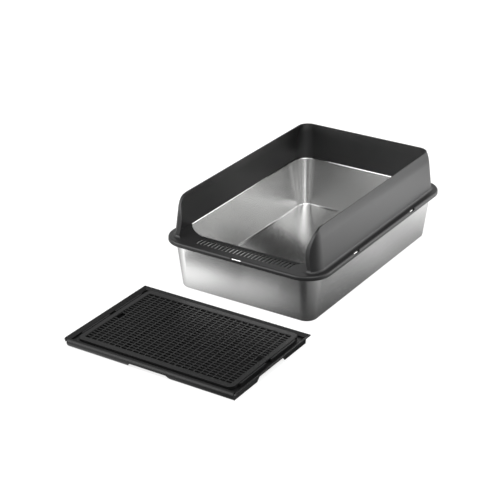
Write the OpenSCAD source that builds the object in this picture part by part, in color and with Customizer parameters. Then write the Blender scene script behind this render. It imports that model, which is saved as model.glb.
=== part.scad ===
// Open litter box: a deep-drawn steel pan, a high-sided plastic frame that drops
// over the pan's rim, and a low step tray with a lift-out grille that stands in
// front of the entry. Millimetres, +Z up, +Y to the back. The origin is on the
// floor, at the centre of the pan's underside.

/* [Frame: outline] */
// Width of the flange, side to side
frame_w = 400; // [330:1:480]
// Length of the flange, front to back
frame_l = 602; // [500:1:720]
// Plan radius of the flange's corners
frame_r = 57; // [49:1:75]

/* [Frame: flange] */
// Thickness of the plate that lies on the pan's rim
plate_t = 2.5; // [2:0.1:3.5]
// Height of the turned-down lip, from its lower edge to the plate's top
lip_drop = 9.5; // [9:0.5:14]
// Thickness of the lip
lip_t = 2.4; // [1.8:0.1:3]
// Radius between the plate and the lip
lip_edge_r = 4; // [2:0.5:5]

/* [Frame: wall] */
// Height of the wall above the flange
wall_h = 92.6; // [70:0.2:125]
// Thickness of the wall
wall_t = 2.5; // [2:0.1:3]
// Width of the flange outside the wall
ledge_w = 15.2; // [14.8:0.2:18]
// Lean of the wall inwards, in degrees
wall_lean = 6.7; // [3:0.1:8]
// Extra inward curl at the wall's top edge
curl = 4.4; // [0:0.2:5]
// Height over which the wall curls
curl_h = 28; // [15:1:40]
// Radius where the wall meets the flange
root_r = 6; // [3:0.5:8]
// Depth of the chamfer under the wall's inner foot
foot_chamfer = 4; // [2:0.5:4]

/* [Frame: entry] */
// How far the wall's two front ends stand back from its front line
end_back = 10.5; // [7.5:0.5:14]
// Height above the flange at which those ends start to lean back
end_foot = 12; // [8:0.5:12]
// Lean of the ends, in degrees
end_lean = 1.5; // [0:0.1:6]
// Length over which the wall's top edge falls at the front
fall_l = 52; // [45:0.5:75]
// Squareness of the falling edge: 2 is an ellipse
fall_n = 2.9; // [2.2:0.1:3.4]
// How far the thickened edge of the ends stands inside the wall
edge_in = 2.4; // [1:0.2:3]
// Width of that edge
edge_w = 4; // [2.5:0.5:6]
// Depth of the entry sill, from the flange's front to the opening
sill_d = 58.5; // [45:0.5:70]
// Size of the opening's front corners, along X
corner_x = 60; // [40:1:75]
// Size of the opening's front corners, along Y
corner_y = 53; // [35:1:65]
// Fullness of the opening's front corners: 1 is a chamfer, 2 an ellipse
corner_n = 1.4; // [1.2:0.1:2]

/* [Frame: sand-return strip] */
// Number of slots in the entry sill
strip_slots = 26; // [14:2:30]
// Pitch of the slots
strip_pitch = 9.29; // [8:0.01:10]
// Width of a slot
strip_slot_w = 4.8; // [3:0.1:5.5]
// Length of a slot
strip_slot_l = 27; // [15:0.5:28]
// Margin of the recess in front of and behind the slots
strip_margin = 4.5; // [3:0.5:6]
// Depth of the recess that the slots lie in
strip_recess = 2; // [1:0.5:3]
// Thickness of the recess's floor and walls
strip_t = 2.5; // [2:0.1:3]
// Depth of the stiffening edge along the opening's front
sill_edge_h = 8; // [5:0.5:10]

/* [Frame: rim catches] */
// Length of the windows and catches at the front and the back
end_catch_l = 26; // [15:1:40]
// Length of the windows and catches on the sides
side_catch_l = 22; // [15:1:40]
// Distance of the side catches from the middle of the frame
side_catch_y = 130; // [80:1:180]
// How far a window reaches in over the pan's rim
window_w = 2.6; // [1.5:0.1:4]
// How far a window reaches down the lip from the plate's top
window_h = 3.8; // [3:0.1:5]
// How far a catch stands in from the lip
catch_d = 0.6; // [0.3:0.1:0.8]

/* [Pan] */
// Height of the pan, from the floor to the rim's top
pan_h = 118.2; // [90:0.2:150]
// Thickness of the steel
steel_t = 0.8; // [0.6:0.1:1.2]
// Draft of the pan's walls, in degrees
pan_draft = 7.2; // [3:0.1:8]
// Radius of the pan's bottom edge
base_r = 5.6; // [4:0.2:9]
// Radius between the wall and the rim
shoulder_r = 3; // [2:0.2:4]
// Width of the flat rim and its bead, outside the wall
rim_w = 12.6; // [10:0.2:14]
// Radius of the rolled bead along the rim
bead_r = 2.2; // [1.6:0.1:2.5]

/* [Step tray] */
// Width of the tray over its side flanges
tray_w = 420; // [340:1:480]
// Depth of the tray, front to back
tray_d = 284; // [230:1:340]
// Height of the tray's rim above the floor
tray_h = 19; // [17:0.5:30]
// Space between the flange's front and the tray's back
tray_gap = 39; // [35:1:90]
// Thickness of the tray's walls
tray_t = 2; // [1.6:0.1:2.5]
// How far the flared rim stands out from the tray's sides and back
tray_flange_w = 7; // [4:0.5:9]
// Height over which the rim's inner face slopes
tray_dish = 4.7; // [2:0.1:5]
// Height of the floor's underside above the ground
tray_floor_z = 9; // [8.8:0.1:9.5]
// Outer radius of the rolled upper part of the front wall
roll_r = 7; // [5:0.5:8]
// How far the front wall's foot stands back
front_tuck = 6.5; // [3:0.5:7]
// Height of the hand gaps in the skirt
hand_gap_h = 8.7; // [6:0.1:8.7]
// Width of the hand gaps at the floor
hand_gap_w = 104; // [70:1:130]
// Thickness of the ribs under the floor
tray_rib_t = 1.8; // [1.2:0.1:2.4]

/* [Grille] */
// Gap between the grille and the tray's side walls
grille_gap_x = 6; // [4:0.5:10]
// Gap between the grille and the tray's front wall
grille_gap_front = 9.5; // [4:0.5:12]
// Gap between the grille and the tray's back wall
grille_gap_back = 2; // [1.5:0.5:6]
// Plan radius of the grille's corners
grille_r = 14; // [8:1:20]
// How far the grille's top lies below the tray's rim
grille_drop = 0.5; // [0:0.1:2]
// Thickness of the grille's plate
grille_t = 2.5; // [2:0.1:3]
// Width of the border round the slots, on the sides
border_x = 17; // [14:0.5:20]
// Width of the border round the slots, at the front and back
border_y = 15; // [11:0.5:20]
// Depth of the slotted field below the border
field_drop = 0.8; // [0.4:0.1:1]
// Number of slots along the grille's length
grille_cols = 24; // [8:2:26]
// Number of slots across the grille
grille_rows = 25; // [9:2:27]
// Thickness of the bars between the slots
grille_bar = 2.8; // [2:0.1:4]
// Width of the rails along the grille's sides
rail_w = 3; // [2:0.2:4]
// Distance of the rails' ends from the grille's front and back
rail_end = 24; // [18:1:40]
// Width of the groove between a rail and the border
groove_w = 2.2; // [1:0.2:3]

/* [Clearances] */
// Gap between parts that rest on each other
seat_gap = 0.3; // [0.3:0.05:0.6]
// Gap between the pan's rim and the frame's lip
rim_gap = 1; // [1:0.1:1.6]

/* [Hidden] */
$fn = 64;

// Corner centres, shared by the flange, the wall and the pan
cx = frame_w / 2 - frame_r;
cy = frame_l / 2 - frame_r;

// Heights
flange_z = pan_h + seat_gap + plate_t;
lip_in = frame_r - lip_t;

// Pan, as distances outwards from the corner centres
rim_out = lip_in - rim_gap;
pan_top = rim_out - rim_w;
function pan_wall(z) = pan_top - (pan_h - z) * tan(pan_draft);

// Wall of the frame, as a distance outwards from the corner centres at height h
wall_root = frame_r - ledge_w;
function curl_at(h) = curl * pow(max(0, h - wall_h + curl_h) / curl_h, 2);
function wall_out(h) = wall_root - h * tan(wall_lean) - curl_at(h);

// Entry
sill_y = -frame_l / 2 + sill_d;
wall_end_y = -cy - wall_root + end_back;
wall_foot = wall_root - wall_t;
strip_l = (strip_slots - 1) * strip_pitch + strip_slot_w;
strip_side = 12;
edge_t = 2.5;
strip_back = sill_y - edge_t;
strip_mid_y = strip_back - strip_margin - strip_slot_l / 2;
strip_front = strip_mid_y - strip_slot_l / 2 - strip_margin;

// Tray
tray_back = -frame_l / 2 - tray_gap;
tray_front = tray_back - tray_d;
tray_mid = (tray_back + tray_front) / 2;
tray_side = tray_w / 2 - tray_flange_w;
tray_in_x = tray_side - tray_t;
tray_wall_back = tray_back - tray_flange_w;
tray_in_back = tray_wall_back - tray_t;
tray_in_front = tray_front + roll_r;
tray_top = tray_floor_z + tray_t;
skirt_lean = 0.6;

// Grille
grille_x = tray_in_x - grille_gap_x;
grille_y0 = tray_in_front + grille_gap_front;
grille_y1 = tray_in_back - grille_gap_back;
grille_mid = (grille_y0 + grille_y1) / 2;
grille_hy = (grille_y1 - grille_y0) / 2;
grille_top = tray_h - grille_drop;
grille_foot = tray_top + seat_gap;
body_x = grille_x - rail_w - groove_w;
field_x = grille_x - border_x;
field_y = grille_hy - border_y;
pitch_x = (2 * field_x + grille_bar) / grille_cols;
pitch_y = (2 * field_y + grille_bar) / grille_rows;
eps = 1;

// Outer face of the tray's front wall, from its foot to the top of its roll
low_r = (front_tuck * front_tuck + pow(tray_h - roll_r, 2)) / (2 * front_tuck);
low_c = [low_r, tray_h - roll_r];
low_a = 180 + asin((tray_h - roll_r) / low_r);
top_c = [roll_r, tray_h - roll_r];
front_face = concat(arc(low_c, low_r, low_a, 180, 8), arc(top_c, roll_r, 180, 90, 8));

// Points of an arc about c, from angle a0 to angle a1 in n steps
function arc(c, r, a0, a1, n) =
    [for (i = [0:n]) let (a = a0 + (a1 - a0) * i / n) c + r * [cos(a), sin(a)]];

// Points of a quarter superellipse about c, with half axes a, b and exponent n
function quarter(c, a, b, n, steps) =
    [for (i = [0:steps]) let (t = 90 * i / steps)
        c + [a * pow(cos(t), 2 / n), b * pow(sin(t), 2 / n)]];

function mirror_x(points) = [for (i = [len(points) - 1:-1:0]) [-points[i][0], points[i][1]]];

// Rounded rectangle with half sizes hx, hy and corner radius r
module plan(hx, hy, r) {
    square([2 * hx, 2 * (hy - r)], center = true);
    square([2 * (hx - r), 2 * hy], center = true);
    for (sx = [-1, 1], sy = [-1, 1])
        translate([sx * (hx - r), sy * (hy - r)])
            circle(r);
}

// Carries a profile, drawn outwards from the corner centres, all the way round
module sweep_round() {
    for (q = [[1, 1, 0], [-1, 1, 90], [-1, -1, 180], [1, -1, 270]])
        translate([q[0] * cx, q[1] * cy, 0])
            rotate(q[2])
                rotate_extrude(angle = 90)
                    children();
    for (s = [0, 180])
        rotate(s) {
            translate([cx, cy, 0])
                rotate([90, 0, 0])
                    linear_extrude(2 * cy)
                        children();
            translate([-cx, cy, 0])
                rotate([90, 0, 90])
                    linear_extrude(2 * cx)
                        children();
        }
}

// Profile of the pan: floor, bottom radius, drafted wall, shoulder, rim and bead
module pan_profile() {
    base_c = [pan_wall(base_r) - base_r / cos(pan_draft), base_r];
    shoulder_z = pan_h - shoulder_r;
    inner_wall = pan_wall(shoulder_z) - steel_t / cos(pan_draft);
    shoulder_c = [inner_wall + shoulder_r / cos(pan_draft), shoulder_z];
    bead_x = rim_out - bead_r;
    polygon(concat(
        [[0, 0]],
        arc(base_c, base_r, -90, -pan_draft, 8),
        arc(shoulder_c, shoulder_r - steel_t, 180 - pan_draft, 90, 6),
        [[bead_x, pan_h - steel_t], [bead_x, pan_h]],
        arc(shoulder_c, shoulder_r, 90, 180 - pan_draft, 6),
        arc(base_c, base_r - steel_t, -pan_draft, -90, 8),
        [[0, steel_t]]));
    translate([bead_x, pan_h - bead_r])
        difference() {
            circle(bead_r, $fn = 24);
            circle(bead_r - steel_t, $fn = 24);
        }
}

// Deep-drawn steel pan
module pan() {
    color("silver") {
        sweep_round()
            pan_profile();
        translate([-cx, -cy, 0])
            cube([2 * cx, 2 * cy, steel_t]);
    }
}

// Profile of the flange: plate, rounded edge and turned-down lip
module flange_profile() {
    polygon(concat(
        [[frame_r, -lip_drop]],
        arc([frame_r - lip_edge_r, -lip_edge_r], lip_edge_r, 0, 90, 6),
        [[wall_foot, 0],
         [wall_foot + foot_chamfer, -plate_t],
         [lip_in, -plate_t],
         [lip_in, -lip_drop]]));
}

// Profile of the wall: root radius, lean, curl and rounded top edge
module wall_profile() {
    tip_r = wall_t / 2;
    tip_h = wall_h - tip_r;
    steps = 8;
    bend_h = wall_h - curl_h;
    root_x = wall_out(root_r) + root_r / cos(wall_lean);
    rise = [for (i = [0:steps]) bend_h + (tip_h - bend_h) * i / steps];
    polygon(concat(
        [[root_x, -plate_t / 5]],
        arc([root_x, root_r], root_r, 270, 180 + wall_lean, 6),
        [for (h = rise) [wall_out(h), h]],
        arc([wall_out(tip_h) - tip_r, tip_h], tip_r, 20, 160, 5),
        [for (i = [steps:-1:0]) [wall_out(rise[i]) - wall_t, rise[i]]],
        [[wall_foot, 0],
         [wall_foot + foot_chamfer / 2, -plate_t / 5]]));
}

// Profile of the thickened edge, from the middle of the wall inwards
module edge_profile() {
    steps = 8;
    bend_h = wall_h - curl_h;
    top_h = wall_h - wall_t / 2;
    rise = [for (i = [0:steps]) bend_h + (top_h - bend_h) * i / steps];
    inset = wall_t + edge_in;
    polygon(concat(
        [[wall_root - wall_t / 2, -plate_t / 5]],
        [for (h = rise) [wall_out(h) - wall_t / 2, h]],
        [for (i = [steps:-1:0]) [wall_out(rise[i]) - inset, rise[i]]],
        [[wall_root - inset, -plate_t / 5]]));
}

// Side view of what the wall loses at the front: its top edge falls in a long curve,
// runs down the front corner and flares out where it meets the flange. With more than
// zero for back, the line lies that much further into the wall.
module entry_section(back = 0) {
    fall_h = wall_h - end_foot;
    front_x = -wall_end_y - back;
    fall_x = -wall_end_y - fall_l;
    top_x = fall_x - back - fall_h * tan(end_lean);
    fall = quarter([fall_x, end_foot], fall_l - back, fall_h - back, fall_n, 20);
    far = frame_l;
    polygon(concat(
        [[far, 0]],
        arc([front_x + root_r, root_r], root_r, 270, 180, 6),
        [for (p = fall) [p[0] - (p[1] - end_foot) * tan(end_lean), p[1]]],
        [[top_x, 2 * wall_h], [far, 2 * wall_h]]));
}

// Carries a side view across the whole width of the frame
module across() {
    rotate([90, 0, -90])
        translate([0, 0, -frame_w])
            linear_extrude(2 * frame_w)
                children();
}

// High wall, cut down at the entry, with a thickened edge along the cut
module wall() {
    difference() {
        union() {
            sweep_round()
                wall_profile();
            intersection() {
                sweep_round()
                    edge_profile();
                across()
                    entry_section(edge_w);
            }
        }
        across()
            entry_section();
        translate([-cx, -frame_l / 2, 0])
            cube([2 * cx, frame_r, 2 * wall_h]);
    }
}

// Plate of the entry sill, up to the opening's shaped front corners
module sill_plan() {
    reach = wall_foot + foot_chamfer + eps;
    far_x = cx + reach;
    side_x = cx + wall_foot + foot_chamfer / 4;
    curve = quarter([0, 0], corner_x, corner_y, corner_n, 14);
    right = [for (i = [0:14]) [side_x - corner_x + curve[i][0], sill_y + corner_y - curve[i][1]]];
    intersection() {
        plan(cx + reach, cy + reach, reach);
        polygon(concat(
            [[-far_x, -frame_l], [far_x, -frame_l], [far_x, sill_y + corner_y]],
            right,
            mirror_x(right),
            [[-far_x, sill_y + corner_y]]));
    }
}

// Recess of the sand-return strip, with sloping ends
module strip_hollow() {
    top_l = strip_l / 2 + strip_side;
    floor_l = strip_l / 2 + strip_side / 3;
    translate([0, strip_back, 0])
        rotate([90, 0, 0])
            linear_extrude(strip_back - strip_front)
                polygon([[-floor_l, -strip_recess], [floor_l, -strip_recess],
                         [top_l, eps], [-top_l, eps]]);
}

// Entry sill: plate, recessed strip and stiffened edge, without the slots
module sill() {
    top_l = strip_l / 2 + strip_side + strip_t;
    box_h = strip_recess + strip_t;
    difference() {
        union() {
            translate([0, 0, -plate_t])
                linear_extrude(plate_t)
                    sill_plan();
            translate([-top_l, strip_front - strip_t / 2, -box_h])
                cube([2 * top_l, sill_y - strip_front + strip_t / 2, box_h]);
            translate([corner_x - cx - wall_foot, sill_y - edge_t, -sill_edge_h])
                cube([2 * (cx + wall_foot - corner_x), edge_t, sill_edge_h]);
        }
        strip_hollow();
    }
}

// The row of slots through the strip
module strip_slots_cut() {
    for (i = [0:strip_slots - 1])
        translate([(i - (strip_slots - 1) / 2) * strip_pitch, strip_mid_y, -strip_recess - strip_t / 2])
            cube([strip_slot_w, strip_slot_l, 2 * strip_t], center = true);
}

// Places what it is given at each of the six catches, with +X pointing outwards
module at_catches() {
    for (s = [0, 180]) {
        rotate(s)
            for (y = [-side_catch_y, side_catch_y])
                translate([cx, y, 0])
                    children(0);
        rotate(s + 90)
            translate([cy, 0, 0])
                children(1);
    }
}

// Window through the flange's outer edge, above a catch
module window(l) {
    translate([lip_in - window_w, -l / 2, -window_h])
        cube([window_w + lip_t + eps, l, window_h + eps]);
}

// Wedge-shaped catch that snaps under the pan's bead
module catch_wedge(l) {
    translate([0, l / 2, 0])
        rotate([90, 0, 0])
            linear_extrude(l)
                polygon([[lip_in + eps / 2, -lip_drop],
                         [lip_in, -lip_drop],
                         [lip_in - catch_d, -lip_drop + 1],
                         [lip_in - catch_d, -lip_drop + 1.4],
                         [lip_in, -lip_drop + 1.8],
                         [lip_in + eps / 2, -lip_drop + 1.8]]);
}

// High-sided frame
module frame() {
    color("dimgray")
        translate([0, 0, flange_z]) {
            difference() {
                union() {
                    sweep_round()
                        flange_profile();
                    wall();
                    sill();
                }
                strip_slots_cut();
                at_catches() {
                    window(side_catch_l);
                    window(end_catch_l);
                }
            }
            at_catches() {
                catch_wedge(side_catch_l - 2);
                catch_wedge(end_catch_l - 2);
            }
        }
}

// Section of the tray's front wall: a rolled shell with an inner wall behind it
module tray_front_section() {
    hollow_r = roll_r - tray_t;
    hollow_a = 180 - acos(tray_t / hollow_r);
    polygon(concat(
        front_face,
        [[roll_r, tray_floor_z], [roll_r - tray_t, tray_floor_z]],
        arc(top_c, hollow_r, hollow_a, 180, 6),
        arc(low_c, low_r - tray_t, 180, low_a - 4, 6),
        [[front_tuck + tray_t, 0]]));
}

// Section of a side or back wall of the tray, drawn outwards from its inner face:
// skirt, flared rim and the slope inside the rim
module tray_wall_section() {
    tip = tray_t + tray_flange_w;
    polygon([[0, 0], [tray_t - skirt_lean, 0], [tray_t, tray_h - tray_flange_w - 1.5],
             [tip, tray_h - 2], [tip, tray_h], [tip - 1.2, tray_h], [0, tray_h - tray_dish]]);
}

// Right-hand side wall, shaped at the front to the front wall's face and mitred to
// the back wall
module tray_side_wall() {
    mitre = tray_in_back - tray_in_x;
    intersection() {
        translate([tray_in_x, 0, 0])
            rotate([90, 0, 0])
                translate([0, 0, -tray_back])
                    linear_extrude(tray_back - tray_front)
                        tray_wall_section();
        translate([0, tray_front, 0])
            rotate([90, 0, 90])
                linear_extrude(tray_w)
                    polygon(concat(front_face, [[tray_d, tray_h], [tray_d, 0]]));
        linear_extrude(tray_h)
            polygon([[0, mitre], [0, tray_front], [tray_w, tray_front], [tray_w, mitre + tray_w]]);
    }
}

// Back wall, mitred to the side walls
module tray_back_wall() {
    intersection() {
        translate([-tray_w / 2, tray_in_back, 0])
            rotate([90, 0, 90])
                linear_extrude(tray_w)
                    tray_wall_section();
        linear_extrude(tray_h)
            polygon([[0, tray_in_back - tray_in_x], [tray_w, tray_in_back - tray_in_x + tray_w],
                     [-tray_w, tray_in_back - tray_in_x + tray_w]]);
    }
}

// Hand gap through a skirt wall, cut along Y
module hand_gap(depth) {
    top_w = hand_gap_w - 16;
    translate([0, depth / 2, 0])
        rotate([90, 0, 0])
            linear_extrude(depth)
                polygon([[-hand_gap_w / 2, -eps], [hand_gap_w / 2, -eps], [hand_gap_w / 2, 0.8],
                         [top_w / 2 + 1.5, hand_gap_h - 1], [top_w / 2, hand_gap_h],
                         [-top_w / 2, hand_gap_h], [-top_w / 2 - 1.5, hand_gap_h - 1],
                         [-hand_gap_w / 2, 0.8]]);
}

// Ribs that stiffen the tray's floor from below
module tray_ribs() {
    rib_x = tray_in_x - 18;
    rib_y = tray_d / 2 - 26;
    rib_h = tray_floor_z - 1;
    for (x = [-rib_x / 2, 0, rib_x / 2])
        translate([x - tray_rib_t / 2, tray_mid - rib_y, 1])
            cube([tray_rib_t, 2 * rib_y, rib_h]);
    for (y = [-rib_y / 2, rib_y / 2])
        translate([-rib_x, tray_mid + y - tray_rib_t / 2, 1])
            cube([2 * rib_x, tray_rib_t, rib_h]);
}

// Step tray: raised floor, rolled front wall, flanged sides and skirt with hand gaps
module tray() {
    slit_w = 2;
    color("dimgray")
        difference() {
            union() {
                translate([-tray_side, tray_front, 0])
                    rotate([90, 0, 90])
                        linear_extrude(2 * tray_side)
                            tray_front_section();
                tray_side_wall();
                mirror([1, 0, 0])
                    tray_side_wall();
                tray_back_wall();
                translate([-tray_in_x - tray_t / 2, tray_in_front - tray_t, tray_floor_z])
                    cube([2 * tray_in_x + tray_t, tray_wall_back - tray_in_front + tray_t / 2, tray_t]);
                tray_ribs();
            }
            for (y = [tray_front + roll_r, tray_wall_back])
                translate([0, y, 0])
                    hand_gap(4 * roll_r);
            for (x = [-tray_side, tray_side])
                translate([x, tray_mid, 0])
                    rotate(90)
                        hand_gap(4 * roll_r);
            for (x = [-tray_side - slit_w, tray_side])
                translate([x, tray_front - eps, tray_top])
                    cube([slit_w, roll_r + eps, tray_h]);
        }
}

// All the oblong slots of the grille, and the two finger slots
module grille_slots() {
    slot = [pitch_x - grille_bar, pitch_y - grille_bar];
    for (i = [0:grille_cols - 1], j = [0:grille_rows - 1])
        translate([-field_x + i * pitch_x, -field_y + j * pitch_y, grille_foot])
            cube([slot[0], slot[1], tray_h]);
    for (x = [-field_x, field_x - slot[0]])
        translate([x, -1.5 * pitch_y + grille_bar / 2, grille_foot])
            cube([slot[0], 3 * pitch_y - grille_bar, tray_h]);
}

// Outline of the grille, drawn in by t: rounded body with a rail along each side
module grille_outline(t) {
    plan(body_x - t, grille_hy - t, grille_r - t);
    plan(grille_x - t, grille_hy - rail_end - t, rail_w / 2);
}

// Lift-out grille: bordered plate on a skirt, side rails, deep bars and finger notches
module grille() {
    skirt_t = 2;
    margin = 1.5;
    notch = [5.5, 20];
    groove_d = 1.5;
    deep_bar_x = pitch_x * grille_cols / 4;
    under_z = grille_top - grille_t - field_drop;
    color("dimgray")
        translate([0, grille_mid, 0])
            difference() {
                union() {
                    difference() {
                        translate([0, 0, grille_foot])
                            linear_extrude(grille_top - grille_foot)
                                grille_outline(0);
                        translate([0, 0, grille_foot - eps])
                            linear_extrude(under_z - grille_foot + eps)
                                grille_outline(skirt_t);
                        translate([0, 0, grille_top - field_drop])
                            linear_extrude(field_drop + eps)
                                plan(field_x + margin, field_y + margin, 3);
                    }
                    for (k = [-1, 0, 1])
                        translate([k * deep_bar_x - grille_bar / 2, skirt_t / 2 - grille_hy, grille_foot])
                            cube([grille_bar, 2 * grille_hy - skirt_t, under_z - grille_foot + eps]);
                }
                grille_slots();
                for (s = [-1, 1])
                    scale([s, 1, 1]) {
                        translate([body_x, rail_end / 2 - grille_hy, grille_top - groove_d])
                            cube([groove_w, 2 * grille_hy - rail_end, 2 * groove_d]);
                        translate([grille_x - notch[0], -notch[1] / 2, grille_foot - eps])
                            cube([notch[0] + eps, notch[1], tray_h]);
                    }
            }
}

pan();
frame();
tray();
grille();
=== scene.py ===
import math

import bmesh
import bpy
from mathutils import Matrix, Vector


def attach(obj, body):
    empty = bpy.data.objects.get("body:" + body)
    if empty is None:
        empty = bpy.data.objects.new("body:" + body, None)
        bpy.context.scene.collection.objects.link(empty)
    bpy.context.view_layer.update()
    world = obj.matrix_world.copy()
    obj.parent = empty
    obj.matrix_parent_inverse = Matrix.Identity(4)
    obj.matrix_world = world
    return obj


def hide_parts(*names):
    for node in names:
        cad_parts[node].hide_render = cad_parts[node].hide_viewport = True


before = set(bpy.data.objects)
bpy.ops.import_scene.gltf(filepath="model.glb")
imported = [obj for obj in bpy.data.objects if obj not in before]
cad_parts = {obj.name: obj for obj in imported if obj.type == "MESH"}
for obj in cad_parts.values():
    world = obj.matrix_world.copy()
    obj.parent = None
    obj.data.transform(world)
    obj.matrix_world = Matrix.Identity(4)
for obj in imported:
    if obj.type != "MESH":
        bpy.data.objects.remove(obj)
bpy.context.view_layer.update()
scene = bpy.context.scene

# ---------------------------------------------------------------- camera and studio
# The camera stands to the right of the entry and looks down on the box through a long
# lens. The floor and what is behind it are one plain white sweep.
camera_data = bpy.data.cameras.new("photo_camera")
camera_data.lens = 112.15
camera_data.sensor_width = 36.0
camera_data.clip_end = 30.0
camera = bpy.data.objects.new("photo_camera", camera_data)
scene.collection.objects.link(camera)
camera.location = (1.6137, -2.7866, 1.5526)
camera_aim = Vector((0.00057, -0.24337, 0.11961))
look = camera_aim - camera.location
camera.rotation_euler = look.to_track_quat("-Z", "Y").to_euler()
scene.camera = camera

scene.view_settings.view_transform = "Standard"

# The world is white to the camera. To everything else it is dark, with a few soft cards
# of light in it.
studio = bpy.data.worlds.new("studio")
scene.world = studio
studio.use_nodes = True
nodes, links = studio.node_tree.nodes, studio.node_tree.links
nodes.clear()
path = nodes.new("ShaderNodeLightPath")
shown = nodes.new("ShaderNodeBackground")
shown.inputs["Color"].default_value = (1.0, 1.0, 1.0, 1.0)
shed = nodes.new("ShaderNodeBackground")
shed.inputs["Color"].default_value = (1.0, 1.0, 1.0, 1.0)
both = nodes.new("ShaderNodeMixShader")
links.new(path.outputs["Is Camera Ray"], both.inputs["Fac"])
links.new(shed.outputs[0], both.inputs[1])
links.new(shown.outputs[0], both.inputs[2])
out = nodes.new("ShaderNodeOutputWorld")
links.new(both.outputs[0], out.inputs["Surface"])
coords = nodes.new("ShaderNodeTexCoord")


def add_lobe(tree, total, measure, gain, offset, strength):
    """A total plus one more soft lobe, strength * exp(gain * measure + offset)."""
    fall = tree.nodes.new("ShaderNodeMath")
    fall.operation = "MULTIPLY_ADD"
    fall.inputs[1].default_value = gain
    fall.inputs[2].default_value = offset
    tree.links.new(measure, fall.inputs[0])
    bell = tree.nodes.new("ShaderNodeMath")
    bell.operation = "EXPONENT"
    tree.links.new(fall.outputs[0], bell.inputs[0])
    more = tree.nodes.new("ShaderNodeMath")
    more.operation = "MULTIPLY_ADD"
    more.inputs[1].default_value = strength
    tree.links.new(bell.outputs[0], more.inputs[0])
    tree.links.new(total, more.inputs[2])
    return more.outputs[0]


def card(total, azimuth, elevation, tightness, strength):
    """One card of light in the world. Azimuth 0 is in front of the entry, and 90 is to
    the right of it."""
    turn, rise = math.radians(azimuth), math.radians(elevation)
    level = math.cos(rise)
    toward = studio.node_tree.nodes.new("ShaderNodeVectorMath")
    toward.operation = "DOT_PRODUCT"
    toward.inputs[1].default_value = (
        math.sin(turn) * level, -math.cos(turn) * level, math.sin(rise)
    )
    studio.node_tree.links.new(coords.outputs["Generated"], toward.inputs[0])
    measure = toward.outputs["Value"]
    return add_lobe(studio.node_tree, total, measure, tightness, -tightness, strength)


dim = nodes.new("ShaderNodeValue")
dim.outputs[0].default_value = 0.03
light = dim.outputs[0]
for azimuth, elevation, tightness, strength in (
    (315.0, 8.0, 8.0, 4.5),
    (315.0, 32.0, 8.0, 3.06),
    (225.0, 8.0, 8.0, 1.08),
    (180.0, 8.0, 8.0, 0.63),
    (135.0, 8.0, 8.0, 4.7),
    (45.0, 32.0, 8.0, 0.8),
    (60.0, 45.0, 30.0, 2.34),
    (60.0, 58.0, 8.0, 1.51),
    (60.0, 70.0, 40.0, 4.77),
):
    light = card(light, azimuth, elevation, tightness, strength)
links.new(light, shed.inputs["Strength"])

# The floor is matt. The glow that lifts it to plain white is for the camera alone.
floor_half = 6.0
floor_grey = (0.30, 0.30, 0.30, 1.0)
camera_glow = 0.75
bm = bmesh.new()
bmesh.ops.create_grid(bm, x_segments=1, y_segments=1, size=floor_half)
floor_mesh = bpy.data.meshes.new("floor")
bm.to_mesh(floor_mesh)
bm.free()
floor = bpy.data.objects.new("floor", floor_mesh)
scene.collection.objects.link(floor)
floor_paint = bpy.data.materials.new("white_floor")
floor_paint.use_nodes = True
nodes, links = floor_paint.node_tree.nodes, floor_paint.node_tree.links
nodes.clear()
matt = nodes.new("ShaderNodeBsdfDiffuse")
matt.inputs["Color"].default_value = floor_grey
white = nodes.new("ShaderNodeEmission")
path = nodes.new("ShaderNodeLightPath")
lift = nodes.new("ShaderNodeMath")
lift.operation = "MULTIPLY"
lift.inputs[1].default_value = camera_glow
links.new(path.outputs["Is Camera Ray"], lift.inputs[0])
links.new(lift.outputs[0], white.inputs["Strength"])
seen = nodes.new("ShaderNodeAddShader")
links.new(matt.outputs[0], seen.inputs[0])
links.new(white.outputs[0], seen.inputs[1])

# In reflections the floor has soft pools of light on an even glow. The glow is darker
# close to the pan's foot, and in a long shade by the front right corner.
even_glow = 0.508
shade_glow = 0.04
shade_x, shade_y = 0.15, -0.35
shade_squash = 0.45
foot_half = (0.158, 0.258, 0.0)
foot_reach = 0.05
foot_dim = 0.55
spot = nodes.new("ShaderNodeTexCoord")
press = nodes.new("ShaderNodeVectorMath")
press.operation = "MULTIPLY"
press.inputs[1].default_value = (1.0, shade_squash, 0.0)
links.new(spot.outputs["Object"], press.inputs[0])
off = nodes.new("ShaderNodeVectorMath")
off.operation = "DISTANCE"
off.inputs[1].default_value = (shade_x, shade_y * shade_squash, 0.0)
links.new(press.outputs[0], off.inputs[0])
shade_fade = nodes.new("ShaderNodeMapRange")
shade_fade.inputs["From Min"].default_value = 0.02
shade_fade.inputs["From Max"].default_value = 0.33
shade_fade.inputs["To Min"].default_value = shade_glow
shade_fade.inputs["To Max"].default_value = even_glow
links.new(off.outputs["Value"], shade_fade.inputs["Value"])
folded = nodes.new("ShaderNodeVectorMath")
folded.operation = "ABSOLUTE"
links.new(spot.outputs["Object"], folded.inputs[0])
beyond = nodes.new("ShaderNodeVectorMath")
beyond.operation = "SUBTRACT"
beyond.inputs[1].default_value = foot_half
links.new(folded.outputs[0], beyond.inputs[0])
outside = nodes.new("ShaderNodeVectorMath")
outside.operation = "MAXIMUM"
links.new(beyond.outputs[0], outside.inputs[0])
gap = nodes.new("ShaderNodeVectorMath")
gap.operation = "LENGTH"
links.new(outside.outputs[0], gap.inputs[0])
foot = nodes.new("ShaderNodeMapRange")
foot.inputs["From Max"].default_value = foot_reach
foot.inputs["To Min"].default_value = foot_dim
links.new(gap.outputs["Value"], foot.inputs["Value"])
near = nodes.new("ShaderNodeMath")
near.operation = "MULTIPLY"
links.new(shade_fade.outputs[0], near.inputs[0])
links.new(foot.outputs[0], near.inputs[1])


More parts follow.
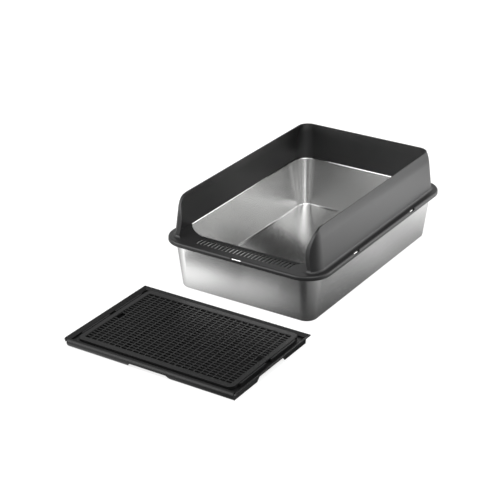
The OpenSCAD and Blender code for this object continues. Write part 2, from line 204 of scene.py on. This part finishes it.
def pool(total, x, y, spread, strength):
    """One pool of light on the floor, as reflections see it."""
    tree = floor_paint.node_tree
    away = tree.nodes.new("ShaderNodeVectorMath")
    away.operation = "SUBTRACT"
    away.inputs[1].default_value = (x, y, 0.0)
    tree.links.new(spot.outputs["Object"], away.inputs[0])
    squared = tree.nodes.new("ShaderNodeVectorMath")
    squared.operation = "DOT_PRODUCT"
    tree.links.new(away.outputs[0], squared.inputs[0])
    tree.links.new(away.outputs[0], squared.inputs[1])
    measure = squared.outputs["Value"]
    return add_lobe(tree, total, measure, -0.5 / spread**2, 0.0, strength)


glow = near.outputs[0]
for x, y, spread, strength in (
    (-0.25, -0.40, 0.08, 0.71),
    (-0.15, -0.35, 0.06, 0.71),
    (0.00, -0.35, 0.06, 0.33),
    (-0.30, -0.60, 0.15, 0.98),
    (0.00, -0.60, 0.12, 0.57),
    (0.233, 0.10, 0.07, 0.14),
    (0.50, -0.10, 0.13, 0.41),
    (0.50, 0.25, 0.13, 1.17),
    (0.50, 0.60, 0.16, 3.04),
    (0.85, 0.10, 0.18, 4.22),
    (0.85, 0.60, 0.20, 7.2),
    (0.10, 0.60, 0.20, 0.2),
    (-0.10, 1.00, 0.25, 1.5),
    (-0.75, 0.30, 0.25, 1.5),
):
    glow = pool(glow, x, y, spread, strength)
mirrored = nodes.new("ShaderNodeEmission")
links.new(glow, mirrored.inputs["Strength"])
either = nodes.new("ShaderNodeMixShader")
links.new(path.outputs["Is Glossy Ray"], either.inputs["Fac"])
links.new(seen.outputs[0], either.inputs[1])
links.new(mirrored.outputs[0], either.inputs[2])
out = nodes.new("ShaderNodeOutputMaterial")
links.new(either.outputs[0], out.inputs["Surface"])
floor_mesh.materials.append(floor_paint)

# ---------------------------------------------------------------- litter pan
# A deep pan drawn from one sheet of 0.8 mm stainless steel. Its walls lean out by about
# seven degrees, its base is rounded, and its flat rim is rolled into a bead all round.
# The steel is brushed round the walls and along the floor.
corner_x = 0.143
corner_y = 0.244
steel = 0.0008
pan_top = 0.1182
pan_draft = math.radians(7.2)
# The radii are those of the sheet's outer face, and the last two sizes are measured
# outwards from the corner centres.
base_r = 0.0056
shoulder_r = 0.003
bead_r = 0.0022
wall_top = 0.0410
rim_out = 0.0536
weld = 1e-6


def arc(centre, radius, start, end, steps):
    """Points of an arc in a section, from one angle to another, in degrees."""
    turns = [math.radians(start + (end - start) * i / steps) for i in range(steps + 1)]
    return [
        (centre[0] + radius * math.cos(a), centre[1] + radius * math.sin(a))
        for a in turns
    ]


def carry_round(section, corner_steps):
    """A section of (out, up) points, measured from the corner centres, carried right
    round the pan."""
    bm = bmesh.new()
    verts = [bm.verts.new((corner_x + o, -corner_y, z)) for o, z in section]
    edges = [bm.edges.new(pair) for pair in zip(verts, verts[1:])]
    legs = (
        ((0.0, 2 * corner_y, 0.0), (corner_x, corner_y)),
        ((-2 * corner_x, 0.0, 0.0), (-corner_x, corner_y)),
        ((0.0, -2 * corner_y, 0.0), (-corner_x, -corner_y)),
        ((2 * corner_x, 0.0, 0.0), (corner_x, -corner_y)),
    )
    for run, corner in legs:
        made = bmesh.ops.extrude_edge_only(bm, edges=edges)["geom"]
        moved = [g for g in made if isinstance(g, bmesh.types.BMVert)]
        bmesh.ops.translate(bm, verts=moved, vec=run)
        ends = set(moved)
        edges = [
            g for g in made
            if isinstance(g, bmesh.types.BMEdge) and set(g.verts) <= ends
        ]
        turned = bmesh.ops.spin(
            bm, geom=moved + edges, cent=(*corner, 0.0), axis=(0.0, 0.0, 1.0),
            angle=math.pi / 2, steps=corner_steps,
        )["geom_last"]
        edges = [g for g in turned if isinstance(g, bmesh.types.BMEdge)]
    bmesh.ops.remove_doubles(bm, verts=bm.verts, dist=weld)
    return bm


# The section is that of the sheet's middle face, half its thickness inside the outer one.
lean = math.degrees(pan_draft)
base_c = (
    wall_top - (pan_top - base_r) * math.tan(pan_draft) - base_r / math.cos(pan_draft),
    base_r,
)
shoulder_c = (
    wall_top - shoulder_r * math.tan(pan_draft)
    - (steel - shoulder_r) / math.cos(pan_draft),
    pan_top - shoulder_r,
)
bead_c = (rim_out - bead_r, pan_top - bead_r)
low = arc(base_c, base_r - steel / 2, -90, -lean, 10)
high = arc(shoulder_c, shoulder_r - steel / 2, 180 - lean, 90, 8)
bead = arc(bead_c, bead_r - steel / 2, 90, -215, 18)
wall_foot, wall_head = low[-1], high[0]
wall = [
    (
        wall_foot[0] + (wall_head[0] - wall_foot[0]) * t,
        wall_foot[1] + (wall_head[1] - wall_foot[1]) * t,
    )
    for t in (0.1, 0.3, 0.5, 0.7, 0.9)
]
pan_section = [(0.0, steel / 2)] + low + wall + high + bead

bm = carry_round(pan_section, 18)
centre = (corner_x, corner_y, steel / 2)
floor_corners = [
    v for v in bm.verts
    if math.dist((abs(v.co.x), abs(v.co.y), v.co.z), centre) < 10 * weld
]
bmesh.ops.contextual_create(bm, geom=floor_corners)
bmesh.ops.recalc_face_normals(bm, faces=bm.faces)

# The brushing's map: along the sheet's grain in U, across it in V, in metres. Round a
# corner, the grain is measured at one middling radius.
turn_r = 0.034
grain = bm.loops.layers.uv.new("grain")


def inside(x, y):
    """The nearest point to (x, y) in the rectangle of the corner centres."""
    return max(-corner_x, min(corner_x, x)), max(-corner_y, min(corner_y, y))


for face in bm.faces:
    face.smooth = True
    middle = face.calc_center_median()
    on_floor = abs(face.normal.z) > 0.999 and middle.z < 0.02
    middle_in = inside(middle.x, middle.y)
    facing = math.atan2(middle.y - middle_in[1], middle.x - middle_in[0])
    for loop in face.loops:
        x, y, z = loop.vert.co
        if on_floor:
            loop[grain].uv = (y, x)
            continue
        in_x, in_y = inside(x, y)
        out_by = math.hypot(x - in_x, y - in_y)
        own = math.atan2(y - in_y, x - in_x) if out_by > weld else facing
        own = facing + math.remainder(own - facing, 2 * math.pi)
        on_side = abs(math.cos(own)) > 0.5
        on_end = abs(math.sin(own)) > 0.866
        along = own * turn_r + (in_y if on_side else 0.0)
        along += in_x if on_end else 0.0
        loop[grain].uv = (along, z + out_by)
pan_mesh = bpy.data.meshes.new("steel_pan")
bm.to_mesh(pan_mesh)
bm.free()
steel_pan = bpy.data.objects.new("steel_pan", pan_mesh)
scene.collection.objects.link(steel_pan)
sheet = steel_pan.modifiers.new("sheet", "SOLIDIFY")
sheet.thickness = steel
sheet.offset = 0.0
sheet.use_even_offset = True
firm = steel_pan.modifiers.new("even_shading", "WEIGHTED_NORMAL")
firm.keep_sharp = True

# The scratches are long and fine: their noise is stretched far more along the grain
# than across it. A wide faint haze dulls the steel in places.
brushed = bpy.data.materials.new("brushed_stainless")
brushed.use_nodes = True
nodes, links = brushed.node_tree.nodes, brushed.node_tree.links
metal = nodes["Principled BSDF"]
metal.inputs["Metallic"].default_value = 1.0
metal.inputs["Anisotropic"].default_value = 0.8
metal.inputs["Anisotropic Rotation"].default_value = 0.25
tangent = nodes.new("ShaderNodeTangent")
tangent.direction_type = "UV_MAP"
tangent.uv_map = "grain"
links.new(tangent.outputs[0], metal.inputs["Tangent"])
uv = nodes.new("ShaderNodeUVMap")
uv.uv_map = "grain"
lay = nodes.new("ShaderNodeMapping")
lay.inputs["Scale"].default_value = (14.0, 2600.0, 1.0)
links.new(uv.outputs[0], lay.inputs["Vector"])
scratch = nodes.new("ShaderNodeTexNoise")
scratch.inputs["Scale"].default_value = 1.0
scratch.inputs["Detail"].default_value = 3.0
links.new(lay.outputs[0], scratch.inputs["Vector"])
place = nodes.new("ShaderNodeTexCoord")
haze = nodes.new("ShaderNodeTexNoise")
haze.inputs["Scale"].default_value = 9.0
haze.inputs["Detail"].default_value = 2.0
links.new(place.outputs["Object"], haze.inputs["Vector"])
tone = nodes.new("ShaderNodeMapRange")
tone.inputs["To Min"].default_value = 0.19
tone.inputs["To Max"].default_value = 0.22
links.new(scratch.outputs["Fac"], tone.inputs["Value"])
dull = nodes.new("ShaderNodeMath")
dull.operation = "MULTIPLY_ADD"
dull.inputs[1].default_value = 0.06
links.new(haze.outputs["Fac"], dull.inputs[0])
links.new(tone.outputs[0], dull.inputs[2])
links.new(dull.outputs[0], metal.inputs["Roughness"])
shade = nodes.new("ShaderNodeValToRGB")
shade.color_ramp.elements[0].color = (0.60, 0.60, 0.597, 1.0)
shade.color_ramp.elements[1].color = (0.66, 0.66, 0.656, 1.0)
links.new(scratch.outputs["Fac"], shade.inputs["Fac"])
links.new(shade.outputs[0], metal.inputs["Base Color"])
relief = nodes.new("ShaderNodeBump")
relief.inputs["Strength"].default_value = 0.02
relief.inputs["Distance"].default_value = 0.00002
links.new(scratch.outputs["Fac"], relief.inputs["Height"])
links.new(relief.outputs[0], metal.inputs["Normal"])
pan_mesh.materials.append(brushed)
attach(steel_pan, "pan")
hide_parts("pan")

# ---------------------------------------------------------------- high-sided frame
# One moulding in charcoal polypropylene: a flange that covers the pan's rim, a tall
# wall that stands on it, and a slotted sill at the entry. Catches moulded in one with
# the lip hold it under the pan's bead, below small windows in the flange.
shallowest_edge = math.radians(30)
crease = math.radians(40)


def finished_copy(node, name, edge, segments):
    """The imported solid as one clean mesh, with every sharp edge rounded."""
    bm = bmesh.new()
    bm.from_mesh(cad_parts[node].data)
    bmesh.ops.remove_doubles(bm, verts=bm.verts, dist=weld)
    bmesh.ops.dissolve_limit(
        bm, angle_limit=math.radians(0.5), verts=bm.verts, edges=bm.edges
    )
    sharp = [
        e for e in bm.edges if e.is_manifold and e.calc_face_angle() > shallowest_edge
    ]
    bmesh.ops.bevel(
        bm, geom=sharp, offset=edge, offset_type="OFFSET", segments=segments,
        profile=0.5, affect="EDGES", clamp_overlap=True, material=-1,
    )
    bmesh.ops.triangulate(bm, faces=[f for f in bm.faces if len(f.verts) > 4])
    for face in bm.faces:
        face.smooth = True
    for e in bm.edges:
        e.smooth = not e.is_manifold or e.calc_face_angle() < crease
    mesh = bpy.data.meshes.new(name)
    bm.to_mesh(mesh)
    bm.free()
    piece = bpy.data.objects.new(name, mesh)
    scene.collection.objects.link(piece)
    firm = piece.modifiers.new("even_shading", "WEIGHTED_NORMAL")
    firm.keep_sharp = True
    return piece


def moulded(name, dark, light, rough, gloss, grain_size):
    """Moulded polypropylene with a fine spark-eroded grain and faint flow of colour."""
    plastic = bpy.data.materials.new(name)
    plastic.use_nodes = True
    nodes, links = plastic.node_tree.nodes, plastic.node_tree.links
    skin = nodes["Principled BSDF"]
    skin.inputs["IOR"].default_value = 1.49
    skin.inputs["Specular IOR Level"].default_value = gloss
    place = nodes.new("ShaderNodeTexCoord")
    fine = nodes.new("ShaderNodeTexNoise")
    fine.inputs["Scale"].default_value = grain_size
    fine.inputs["Detail"].default_value = 3.0
    links.new(place.outputs["Object"], fine.inputs["Vector"])
    flow = nodes.new("ShaderNodeTexNoise")
    flow.inputs["Scale"].default_value = 7.0
    flow.inputs["Detail"].default_value = 3.0
    links.new(place.outputs["Object"], flow.inputs["Vector"])
    tint = nodes.new("ShaderNodeValToRGB")
    tint.color_ramp.elements[0].position = 0.3
    tint.color_ramp.elements[0].color = (*dark, 1.0)
    tint.color_ramp.elements[1].position = 0.7
    tint.color_ramp.elements[1].color = (*light, 1.0)
    links.new(flow.outputs["Fac"], tint.inputs["Fac"])
    links.new(tint.outputs[0], skin.inputs["Base Color"])
    dull = nodes.new("ShaderNodeMapRange")
    dull.inputs["To Min"].default_value = rough - 0.06
    dull.inputs["To Max"].default_value = rough + 0.06
    links.new(fine.outputs["Fac"], dull.inputs["Value"])
    links.new(dull.outputs[0], skin.inputs["Roughness"])
    relief = nodes.new("ShaderNodeBump")
    relief.inputs["Strength"].default_value = 0.25
    relief.inputs["Distance"].default_value = 0.00006
    links.new(fine.outputs["Fac"], relief.inputs["Height"])
    links.new(relief.outputs[0], skin.inputs["Normal"])
    return plastic


guard_frame = finished_copy("frame", "guard_frame", edge=0.0004, segments=2)
charcoal = moulded(
    "charcoal_plastic", dark=(0.0040, 0.0040, 0.0042), light=(0.0062, 0.0062, 0.0065),
    rough=0.46, gloss=0.5, grain_size=2200.0,
)
guard_frame.data.materials.append(charcoal)
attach(guard_frame, "frame")
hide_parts("frame")

# ---------------------------------------------------------------- step tray
# A low tray moulded in black polypropylene, on a skirt with hand gaps. It has a rolled
# front and flared sides and back, and catches the litter that falls through the grille.
step_tray = finished_copy("tray", "step_tray", edge=0.0004, segments=2)
tray_black = moulded(
    "black_tray_plastic", dark=(0.0025, 0.0025, 0.0026), light=(0.0040, 0.0040, 0.0042),
    rough=0.44, gloss=0.3, grain_size=2400.0,
)
step_tray.data.materials.append(tray_black)
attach(step_tray, "tray")
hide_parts("tray")

# ---------------------------------------------------------------- grille
# The lift-out panel that lies in the tray, moulded in black polypropylene: a raised
# border round rows of oblong slots, with finger slots and notches at its two ends.
tray_grille = finished_copy("grille", "tray_grille", edge=0.0003, segments=1)
grille_black = moulded(
    "black_grille_plastic", dark=(0.0030, 0.0030, 0.0031), light=(0.0050, 0.0050, 0.0052),
    rough=0.50, gloss=0.3, grain_size=2400.0,
)
tray_grille.data.materials.append(grille_black)
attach(tray_grille, "grille")
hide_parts("grille")
